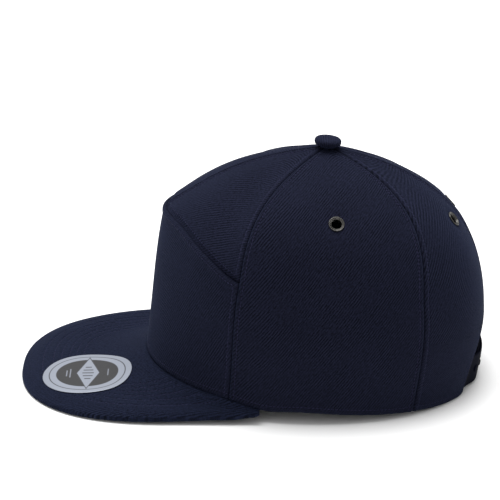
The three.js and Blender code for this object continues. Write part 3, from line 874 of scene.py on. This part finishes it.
def backGrid():  # rows close up towards the top of the opening, and go on evenly above it
    archRows, upperRows = backLook["archRows"], backLook["upperRows"]
    archTop = backLevel([crown["archHeight"]])[0]
    climb = np.sin(np.arange(archRows) / archRows * np.pi / 2)
    archLevels = backLevel(crown["archHeight"] * climb)
    archLevels[0] = 0
    shares = spread(backLook["width"])
    topGuess = atTop(np.array([float(backLook["guessTurn"])]))[0]
    turns, levels = [], []
    for k in range(archRows + upperRows + 1):
        shareUp = (k - archRows) / upperRows
        guess = archLevels[k] if k < archRows else archTop + (topGuess - archTop) * shareUp
        start, end = backAt(np.array([guess])), archTurn(np.array([guess]))[0] if k < archRows else 180.0
        setBack = halfGap(start, np.array([guess]))
        rowTurns = start + setBack + (end - start - 2 * setBack) * shares
        turns.append(rowTurns)
        rising = archTop + (atTop(rowTurns) - archTop) * shareUp
        levels.append(np.full(len(rowTurns), guess) if k < archRows else rising)
    return np.array(turns), np.array(levels)


def archDistance(turn, level):  # mm from the edge of the back opening
    reach, height = meridian(atBack(turn), level)
    halfWidth, archHeight = crown["archWidth"] / 2, crown["archHeight"]
    x, h = np.radians(180 - turn) * reach / halfWidth, height / archHeight
    ring = np.hypot(x, h)
    slope = np.hypot(x / halfWidth, h / archHeight) / np.maximum(ring, 1e-6)
    return np.maximum(0, (ring - 1) / np.maximum(slope, 1e-6)), height


def buildBackPanels():
    turn, level = backGrid()
    across, up = gridLengths(crownPoint(turn, level))
    archAway, height = archDistance(turn, level)
    centreAway = np.where(height > crown["archHeight"], across[:, -1:] - across, 99)
    edges = [(across, up, "seam"), (centreAway, up, "seam"), (up, across, "hem"), (archAway, up, "hem")]
    for side, hand in hands:
        clothPanel(f"back_panel_{side}", turn * hand, level, hand, edges, panelLook["grains"]["back"],
                   eyeletSpot("back", hand))


def awayFromRim(points):  # distance in plan from the visor's outer edge, and the run along it
    rim = visorEdge(np.linspace(-1, 1, 601))[:, :2]
    flat = points[..., :2].reshape(-1, 2)
    best, spot = np.full(len(flat), 999.0), np.zeros(len(flat))
    lengths = np.concatenate([[0], np.cumsum(np.linalg.norm(np.diff(rim, axis=0), axis=1))])
    for k in range(len(rim) - 1):
        step = rim[k + 1] - rim[k]
        t = np.clip(((flat - rim[k]) @ step) / (step @ step), 0, 1)
        away = np.linalg.norm(flat - rim[k] - t[:, None] * step, axis=1)
        closer = away < best
        best = np.where(closer, away, best)
        spot = np.where(closer, lengths[k] + t * (lengths[k + 1] - lengths[k]), spot)
    return best.reshape(points.shape[:-1]), spot.reshape(points.shape[:-1])


def visorSection():  # points from under the crown out along the upper face, round the rim and back below
    v = visorShape
    shares = np.linspace(-1, 1, v["columns"])
    thin = smooth(np.abs(shares), 1 - v["endTaper"], 1)
    thickness = v["thickness"] + (v["endThickness"] - v["thickness"]) * thin
    half = thickness / 2
    hem, edge = visorPoint(shares, 0), visorPoint(shares, 1)
    width = np.linalg.norm(edge - hem, axis=-1)
    soft = np.minimum(half * v["softShare"] / width, v["mostSoft"])
    outward = edge - hem
    outward[:, 2] = 0
    outward = outward / np.linalg.norm(outward, axis=-1, keepdims=True)
    inner = insetPoint(shares * v["cornerTurn"], np.zeros(len(shares)), crown["wall"] + shares * 0)
    inner[:, 2] = hem[:, 2]
    reaches = np.linspace(v["firstReach"], 1, v["rows"])
    top = np.array([inner] + [visorPoint(shares, reach * (1 - soft)) for reach in reaches])
    away, run = awayFromRim(top)
    relief = v["puff"] * smooth(away, *v["puffEnds"][:2]) * (1 - smooth(away, *v["puffEnds"][2:]))
    for row in v["rowsAway"]:
        relief = relief - v["groove"] * bell(away, row, v["grooveWidth"])
    relief = relief * smooth(np.linalg.norm(top - top[1], axis=-1), *v["settle"])
    up = np.array([0, 0, 1.0])
    upper = top + relief[..., None] * up
    lower = top - (thickness + relief)[..., None] * up
    last = visorPoint(shares, 1 - soft)
    nose = []
    for angle in np.linspace(0, np.pi, v["noseSteps"])[1:-1]:
        point = last + outward * (soft * width)[:, None] * np.sin(angle)
        lean = (edge - last)[:, 2] * np.sin(angle) * v["noseLean"]
        point[:, 2] = last[:, 2] - half * (1 - np.cos(angle)) + lean
        nose.append(point)
    section = np.concatenate([upper, np.array(nose), lower[::-1]])
    flatAway = np.concatenate([away, np.full((len(nose), len(shares)), 0.5), away[::-1]])
    flatRun = np.concatenate([run, np.repeat(run[-1:], len(nose), 0), run[::-1]])
    return section, flatAway, flatRun


def buildVisor():
    section, away, run = visorSection()
    nearestRow = np.min([np.abs(away - row) for row in visorShape["rowsAway"]], axis=0)
    uv = onGrain(-section[..., 1], section[..., 0], visorShape["grain"])
    bm = sheetGrid(section.shape[0], section.shape[1])
    column, row = bm.verts.layers.int["column"], bm.verts.layers.int["row"]
    places = onTable(section)
    awayLayer, runLayer = bm.verts.layers.float.new("seamAway"), bm.verts.layers.float.new("seamRun")
    for v in bm.verts:
        c, r = v[column], v[row]
        v.co = places[c, r]
        v[awayLayer] = nearestRow[c, r] + panelLook["stitchAway"]
        v[runLayer] = run[c, r]
    layUv(bm, "cloth", lambda v: uv[v[column], v[row]])
    ends = (0, section.shape[0] - 1)
    innerEdges = [e for e in bm.edges if e.is_boundary and all(v[column] in ends for v in e.verts)
                  and e.verts[0][column] == e.verts[1][column]]
    bmesh.ops.bridge_loops(bm, edges=innerEdges)
    bmesh.ops.holes_fill(bm, edges=[e for e in bm.edges if e.is_boundary], sides=0)
    bmesh.ops.triangulate(bm, faces=[f for f in bm.faces if len(f.verts) > 4])
    bmesh.ops.recalc_face_normals(bm, faces=bm.faces[:])
    return finishPiece("visorCloth", bm, materials["visor"], ["visor"])


buttonLook = {
    "diameter": 16.3, "height": 4.2, "lift": 2.25, "neck": 5, "neckTaper": 0.96, "neckTop": 0.02, "steps": 90,
    "folds": 15, "foldDepth": 0.16, "foldInward": 0.6, "gatherFrom": 0.3, "gatherTo": 0.62,
    "dome": [  # reach and height as shares
        (0.84, 0.03), (0.92, 0.08), (0.97, 0.18), (0.993, 0.32), (1, 0.47), (0.995, 0.62), (0.97, 0.76),
        (0.91, 0.87), (0.81, 0.935), (0.66, 0.968), (0.48, 0.985), (0.26, 0.996), (0, 1),
    ],
}


def clothHeight(reach):  # highest cloth at a distance from the button's axis
    turns = np.array([row[0] for row in crown["meridians"]], float)
    return float(meridian(turns, reachLevel(turns, reach))[1].max())


def buildButton():
    look = buttonLook
    radius = look["diameter"] / 2
    low, tall = clothHeight(radius) + look["lift"], look["height"]
    inner = clothHeight(crown["topHole"]) + crown["gap"]
    neckTop = low + look["neckTop"] * tall
    neck = [(0, inner), (look["neck"] * look["neckTaper"], inner), (look["neck"], neckTop)]
    profile = neck + [(radius * reach, low + tall * height) for reach, height in look["dome"]]
    bm = spunBmesh(profile, look["steps"])

    def overDome(v):  # the cloth runs down the dome from its middle
        reach = math.hypot(v.co.x, v.co.y)
        scale = (reach + max(0, low + tall - v.co.z)) / max(reach, 1e-6)
        return v.co.x * scale, v.co.y * scale

    layUv(bm, "cloth", overDome)
    for v in bm.verts:
        gather = 1 - float(smooth(v.co.z, low + look["gatherFrom"], low + look["gatherTo"] * tall))
        swell = math.cos(look["folds"] * math.atan2(v.co.y, v.co.x)) - look["foldInward"]
        fold = 1 + look["foldDepth"] * gather * swell / radius
        v.co.x, v.co.y = v.co.x * fold, v.co.y * fold
    seat(bm, np.array([0.0, -crown["buttonForward"], 0.0]), (0, 0, 1))
    finishPiece("top_buttonCloth", bm, materials["button"], ["top_button"])


stickerLook = {
    "diameter": 53.8, "across": 26, "forward": 0.46, "thickness": 0.35, "lift": 0.32, "steps": 120,
    "foil": (0.235, 0.255, 0.305, 1), "foilDark": (0.20, 0.22, 0.265, 1), "line": (0.030, 0.032, 0.038, 1),
    "disc": (0.0165, 0.0165, 0.019, 1),
    "soft": 0.008,  # half the width of a printed edge, as a share of the radius like all below
    "ring": (0.835, 0.85, 0.865), "discReach": 0.70,
    "lozenge": (0.25, 0.78), "lozengeBack": 0.02, "outline": 1.08,
    # middle ahead and across, half size ahead and across
    "darkBars": [(-0.02, -0.3, 0.07, 0.022), (-0.02, -0.15, 0.11, 0.022), (-0.02, 0, 0.13, 0.022),
                 (-0.02, 0.15, 0.11, 0.022), (-0.02, 0.3, 0.07, 0.022)],
    "paleBars": [(-0.47, 0, 0.012, 0.16), (0.38, 0, 0.014, 0.22), (0.46, 0, 0.014, 0.15)],
}


def makeSticker():
    look = stickerLook
    paint = Paint("stickerFoil")
    ahead, across, _ = paint.apart(paint.uv("disc"))
    reach = (ahead * ahead + across * across) ** 0.5

    def within(value, size):
        return 1 - value.ease(size - look["soft"], size + look["soft"])

    def bar(middleAhead, middleAcross, halfAhead, halfAcross):
        return within(abs(ahead - middleAhead), halfAhead) * within(abs(across - middleAcross), halfAcross)

    brushed = paint.noise(paint.uv("disc"), 9, 3, 0.6)
    silver = paint.mix(brushed * 0.5, look["foil"], look["foilDark"])
    colour = paint.mix(within(reach, look["discReach"]), silver, look["disc"])
    lozenge = abs(ahead + look["lozengeBack"]) / look["lozenge"][0] + abs(across) / look["lozenge"][1]
    colour = paint.mix(within(lozenge, look["outline"]), colour, look["line"])
    colour = paint.mix(within(lozenge, 1.0), colour, silver)
    ring = reach.ease(*look["ring"][:2]) * within(reach, look["ring"][2])
    colour = paint.mix(ring + sum(bar(*place) for place in look["darkBars"]), colour, look["line"])
    colour = paint.mix(sum(bar(*place) for place in look["paleBars"]) * 0.7, colour, look["foil"])
    paint.set(colour=colour, metallic=0.25, roughness=brushed * 0.12 + 0.34, specular=0.5,
              normal=paint.bump(brushed, 0.00002))
    return paint.material


def buildSticker():
    look = stickerLook
    radius = look["diameter"] / 2
    top, low = look["lift"] + look["thickness"], look["lift"]
    rings = [(radius * share, top) for share in np.linspace(0, 0.985, 15)]
    rim = [(radius * 0.996, top - 0.06), (radius, (top + low) / 2), (radius * 0.996, low + 0.03)]
    under = [(radius * share, low) for share in np.linspace(0.985, 0, 12)]
    bm = spunBmesh(rings + rim + under, look["steps"])
    layUv(bm, "disc", lambda v: (-v.co.y / radius, v.co.x / radius))
    points = np.array([v.co[:] for v in bm.verts])
    points[:, 0] += look["across"]
    points[:, 1] -= crown["hemLength"] / 2 + look["forward"] * visorShape["length"]
    points[:, 2] += visorHeight(points[:, 0], points[:, 1])
    for v, place in zip(bm.verts, onTable(points)):
        v.co = place
    finishPiece("visor_stickerFoil", bm, makeSticker(), ["visor_sticker"])


bandLook = {
    "height": 31, "thickness": 1, "columns": 300, "rows": 30, "grain": 48,
    "strapRoom": 1.5, "roomEnds": (54, 62),  # the band goes round the strap's ends
    "folds": [(2.2, 0.25, 1.4), (4.4, -0.2, 0.5), (29, 0.25, 1.4), (27, -0.2, 0.5)],  # height, rise, width
}


def buildSweatband():
    look = bandLook
    heights = np.linspace(crown["gap"], look["height"], look["rows"])
    levels = backLevel(heights)
    end = archTurn(levels)
    turn = end[:, None] * np.linspace(-1, 1, look["columns"])[None, :]
    level = np.repeat(levels[:, None], look["columns"], 1)
    fromBack = (180 - np.abs(turn)) / perWidth(level)
    overStrap = look["strapRoom"] * (1 - smooth(fromBack, *look["roomEnds"]))
    inset = crown["wall"] + crown["gap"] + overStrap
    height = np.repeat(heights[:, None], look["columns"], 1)
    fold = sum(rise * bell(height, middle, width) for middle, rise, width in look["folds"])
    outside = insetPoint(turn, level, inset)
    inside = insetPoint(turn, level, inset + look["thickness"] + fold)
    across, up = gridLengths(outside)
    middle = across[:, look["columns"] // 2][:, None]
    bm = thickSheet(outside, inside, onGrain(across - middle, up, look["grain"]))
    finishPiece("sweatbandCloth", bm, materials["band"], ["sweatband"])


strapLook = {
    "height": 20, "lift": 2, "thickness": 1.2, "tab": 12, "overlap": 56, "bow": 1, "pitch": 9.5, "count": 6,
    "radius": 2, "step": 0.7, "edgeRound": 0.3, "roundWidth": 0.9,
    "endSteps": 22, "heightSteps": 29, "studSteps": 20,
    "stud": [  # reach and height over the outer strip
        (0, 0.62), (0.8, 0.6), (1.4, 0.48), (1.8, 0.25), (1.98, -0.1), (1.9, -0.7), (1.9, -2.1), (0, -2.1),
    ],
}


def outerDepth(place):  # the closure's outer layer is bowed out in the opening and sewn in beside it
    s = strapLook
    openingEdge = archHalf(s["lift"] + s["height"])
    sewn = crown["wall"] + crown["gap"]
    return -s["bow"] + (sewn + s["bow"]) * smooth(np.abs(place), openingEdge / 2, openingEdge - 1)


def strapPoint(place, height, depth):
    level = backLevel(height)
    return insetPoint(180 - place * perWidth(level), level, depth)


def strapSheet(hand, depthAt, holes):
    s = strapLook
    half, middleHeight = s["height"] / 2, s["lift"] + s["height"] / 2
    freeEnd, sewnEnd = -s["overlap"] / 2, crown["archWidth"] / 2 + s["tab"]
    turnIn = freeEnd + half * (1 - np.cos(np.linspace(0.04, np.pi / 2, s["endSteps"])))
    places = np.concatenate([turnIn, np.arange(freeEnd + half + s["step"], sewnEnd, s["step"])])
    past = np.maximum(0, freeEnd + half - places)
    reach = np.sqrt(half * half - past * past)
    heightShares = np.linspace(-1, 1, s["heightSteps"])
    place = np.repeat(places[:, None], s["heightSteps"], 1)
    height = middleHeight + reach[:, None] * heightShares[None, :]
    edgeAway = np.minimum(reach[:, None] * (1 - np.abs(heightShares[None, :])), place - freeEnd)
    roundIn = s["edgeRound"] * (1 - smooth(edgeAway, 0, s["roundWidth"]))
    depth = depthAt(place)
    face = strapPoint(place * hand, height, depth + roundIn)
    back = strapPoint(place * hand, height, depth + s["thickness"] - roundIn)
    return thickSheet(face, back, np.stack([place, height], -1), holes)


def buildStrap():
    s = strapLook
    spots = (np.arange(s["count"]) - (s["count"] - 1) / 2) * s["pitch"]
    height = np.full(len(spots), s["lift"] + s["height"] / 2)
    centres = strapPoint(spots, height, outerDepth(spots))
    axes = centres - strapPoint(spots, height, outerDepth(spots) + 1)
    axes = axes / np.linalg.norm(axes, axis=-1, keepdims=True)
    holes = [(centre, axis, s["radius"] + crown["gap"]) for centre, axis in zip(centres, axes)]
    bm = strapSheet(1, outerDepth, holes)
    finishPiece("strap_holesStrip", bm, materials["plastic"], ["strap_holes"])

    under = s["thickness"] + crown["gap"]
    clear, openingEdge = s["overlap"] / 2 + 0.5, archHalf(s["lift"] + s["height"])

    def innerDepth(place):
        return outerDepth(place) + under * (1 - smooth(place, clear, openingEdge - 1))

    bm = strapSheet(-1, innerDepth, [])
    for centre, axis in zip(centres, axes):
        stud = spunBmesh(s["stud"], s["studSteps"])
        seat(stud, centre, axis)
        spare = bpy.data.meshes.new("stud")
        stud.to_mesh(spare)
        stud.free()
        bm.from_mesh(spare)
        bpy.data.meshes.remove(spare)
    finishPiece("strap_studsStrip", bm, materials["plastic"], ["strap_studs"])


stitchLook = {
    "pitch": 2.3, "length": 2.0, "width": 0.42, "height": 0.26, "sink": 0.07, "within": 0.003,
    "topLevel": 1.93, "leastReach": 9, "archAway": 4,
    "lineSteps": 240, "middleSteps": 120, "hemSteps": 400, "rimSteps": 801,
}


def clothTree(pieces):  # the faces of the finished cloth, to seat stitches on
    bm = bmesh.new()
    for piece in pieces:
        bm.from_mesh(piece.data)
    tree = BVHTree.FromBMesh(bm)
    bm.free()
    return tree


def evenly(points, pitch):  # places a pitch apart along a line of points, in metres
    steps = np.linalg.norm(np.diff(points, axis=0), axis=1)
    lengths = np.concatenate([[0], np.cumsum(steps)])
    count = int(lengths[-1] / pitch)
    if count < 1:
        return []
    at = (np.arange(count) + 0.5) * lengths[-1] / count
    look = lambda runs: np.stack([np.interp(runs, lengths, points[:, k]) for k in range(3)], -1)
    return list(zip(look(at), look(at + 0.0008) - look(at - 0.0008)))


def sewRows(name, rowsOfPoints, tree):
    look = stitchLook
    bm = bmesh.new()
    for points in rowsOfPoints:
        for spot, way in evenly(points, look["pitch"] / 1000):
            near, normal, _, distance = tree.find_nearest(Vector(spot))
            if near is None or distance > look["within"]:
                continue
            along = Vector(way).normalized()
            up = (normal - along * normal.dot(along)).normalized()
            turn = Matrix((along, up.cross(along), up)).transposed().to_4x4()
            size = Matrix.Diagonal((look["length"] / 2000, look["width"] / 2000, look["height"] / 2000, 1))
            middle = near + up * (look["height"] / 4 - look["sink"] / 2) / 1000
            place = Matrix.Translation(middle) @ turn @ size
            bmesh.ops.create_icosphere(bm, subdivisions=1, radius=1, matrix=place)
    print("  ", name, len(bm.faces), "faces")
    finishPiece(name, bm, materials["thread"], ())


def crownLine(turns, levels):
    return onTable(crownPoint(np.asarray(turns, float), np.asarray(levels, float)))


def seamRows(hand):  # a row of stitches on each side of every seam that runs up to the button
    look, away = stitchLook, panelLook["stitchAway"]
    up = np.linspace(0.01, look["topLevel"], look["lineSteps"])
    rows = []
    for seam in ("frontSeam", "backSeam"):
        turn = seamAt(seam, up)
        reach = meridian(turn, up)[0]
        for side in (-1, 1):
            offset = np.degrees(away / np.maximum(reach, 1)) * side
            parts = [reach > look["leastReach"]]
            if seam == "frontSeam" and side == -1:  # the crease seam crosses here
                parts = [parts[0] & (up < 1 - away / crown["creaseHeight"]), parts[0] & (up > 1 + away / 80)]
            rows += [crownLine((turn + offset)[part] * hand, up[part]) for part in parts]
    archTop = backLevel([crown["archHeight"]])[0]
    for middle, low in ((0, 1.02), (180, archTop + 0.03)):
        up = np.linspace(low, look["topLevel"], look["middleSteps"])
        reach = meridian(up * 0 + middle, up)[0]
        offset = np.degrees(away / reach) * (1 if middle == 0 else -1)
        shown = reach > look["leastReach"]
        rows.append(crownLine((middle + offset)[shown] * hand, up[shown]))
    return rows


def hemRows(hand):  # along the hem, round the back opening and over the crease
    look, away = stitchLook, panelLook["stitchAway"]
    turns = np.linspace(0, archTurn(np.array([0.0]))[0] - look["archAway"], look["hemSteps"])
    rows = [crownLine(turns * hand, heightLevel(turns, panelLook["hemStitch"]))]
    angle = np.linspace(0.09, np.pi / 2 - 0.06, 120)
    level = backLevel((crown["archHeight"] + look["archAway"]) * np.sin(angle))
    fromMiddle = (crown["archWidth"] / 2 + look["archAway"]) * np.cos(angle)
    rows.append(crownLine((180 - fromMiddle * perWidth(level)) * hand, level))
    turns = np.linspace(2, crown["frontSeam"][0] - 2, 100)
    for level in (1 + away / 88, 1 - away / crown["creaseHeight"]):
        rows.append(crownLine(turns * hand, turns * 0 + level))
    return rows


def visorRows(tree):  # rows at even distances from the rim, dropped onto the visor's two faces
    rim = visorEdge(np.linspace(-1, 1, stitchLook["rimSteps"]))[:, :2]
    way = np.gradient(rim, axis=0)
    way = way / np.linalg.norm(way, axis=1, keepdims=True)
    inward = np.stack([-way[:, 1], way[:, 0]], -1)
    inward = inward * np.sign(inward[len(rim) // 2, 1])
    rows = []
    for away in visorShape["rowsAway"]:
        line = rim + inward * away
        hemSize = (line[:, 0] / (crown["hemWidth"] / 2)) ** 2 + (line[:, 1] / (crown["hemLength"] / 2)) ** 2
        clear = np.array([np.linalg.norm(rim - p, axis=1).min() > away - 0.3 for p in line])
        line = line[(hemSize > 1.02) & clear & (line[:, 1] < 0)]
        points = onTable(np.concatenate([line, np.full((len(line), 1), -10.0)], 1))
        for start, down in ((0.08, -1), (-0.02, 1)):
            hits = [tree.ray_cast(Vector((p[0], p[1], start)), Vector((0, 0, down)))[0] for p in points]
            rows.append(np.array([hit for hit in hits if hit is not None]))
    return rows


setUpLight()
setUpCamera()
layFloor()
materials = makeMaterials()
print("studio and materials ready")
buildFrontPanels()
buildSidePanels()
buildBackPanels()
print("crown panels done")
visorPiece = buildVisor()
print("visor done")
crownTree = clothTree([o for o in bpy.data.objects if o.name.endswith("Cloth") and o is not visorPiece])
sewRows("crownStitches", seamRows(1) + seamRows(-1) + hemRows(1) + hemRows(-1), crownTree)
visorTree = clothTree([visorPiece])
sewRows("visorStitches", visorRows(visorTree), visorTree)
print("stitches done")
buildButton()
buildEyelets()
buildSticker()
buildSweatband()
buildStrap()
print("button, eyelets, sticker, sweatband and strap done")
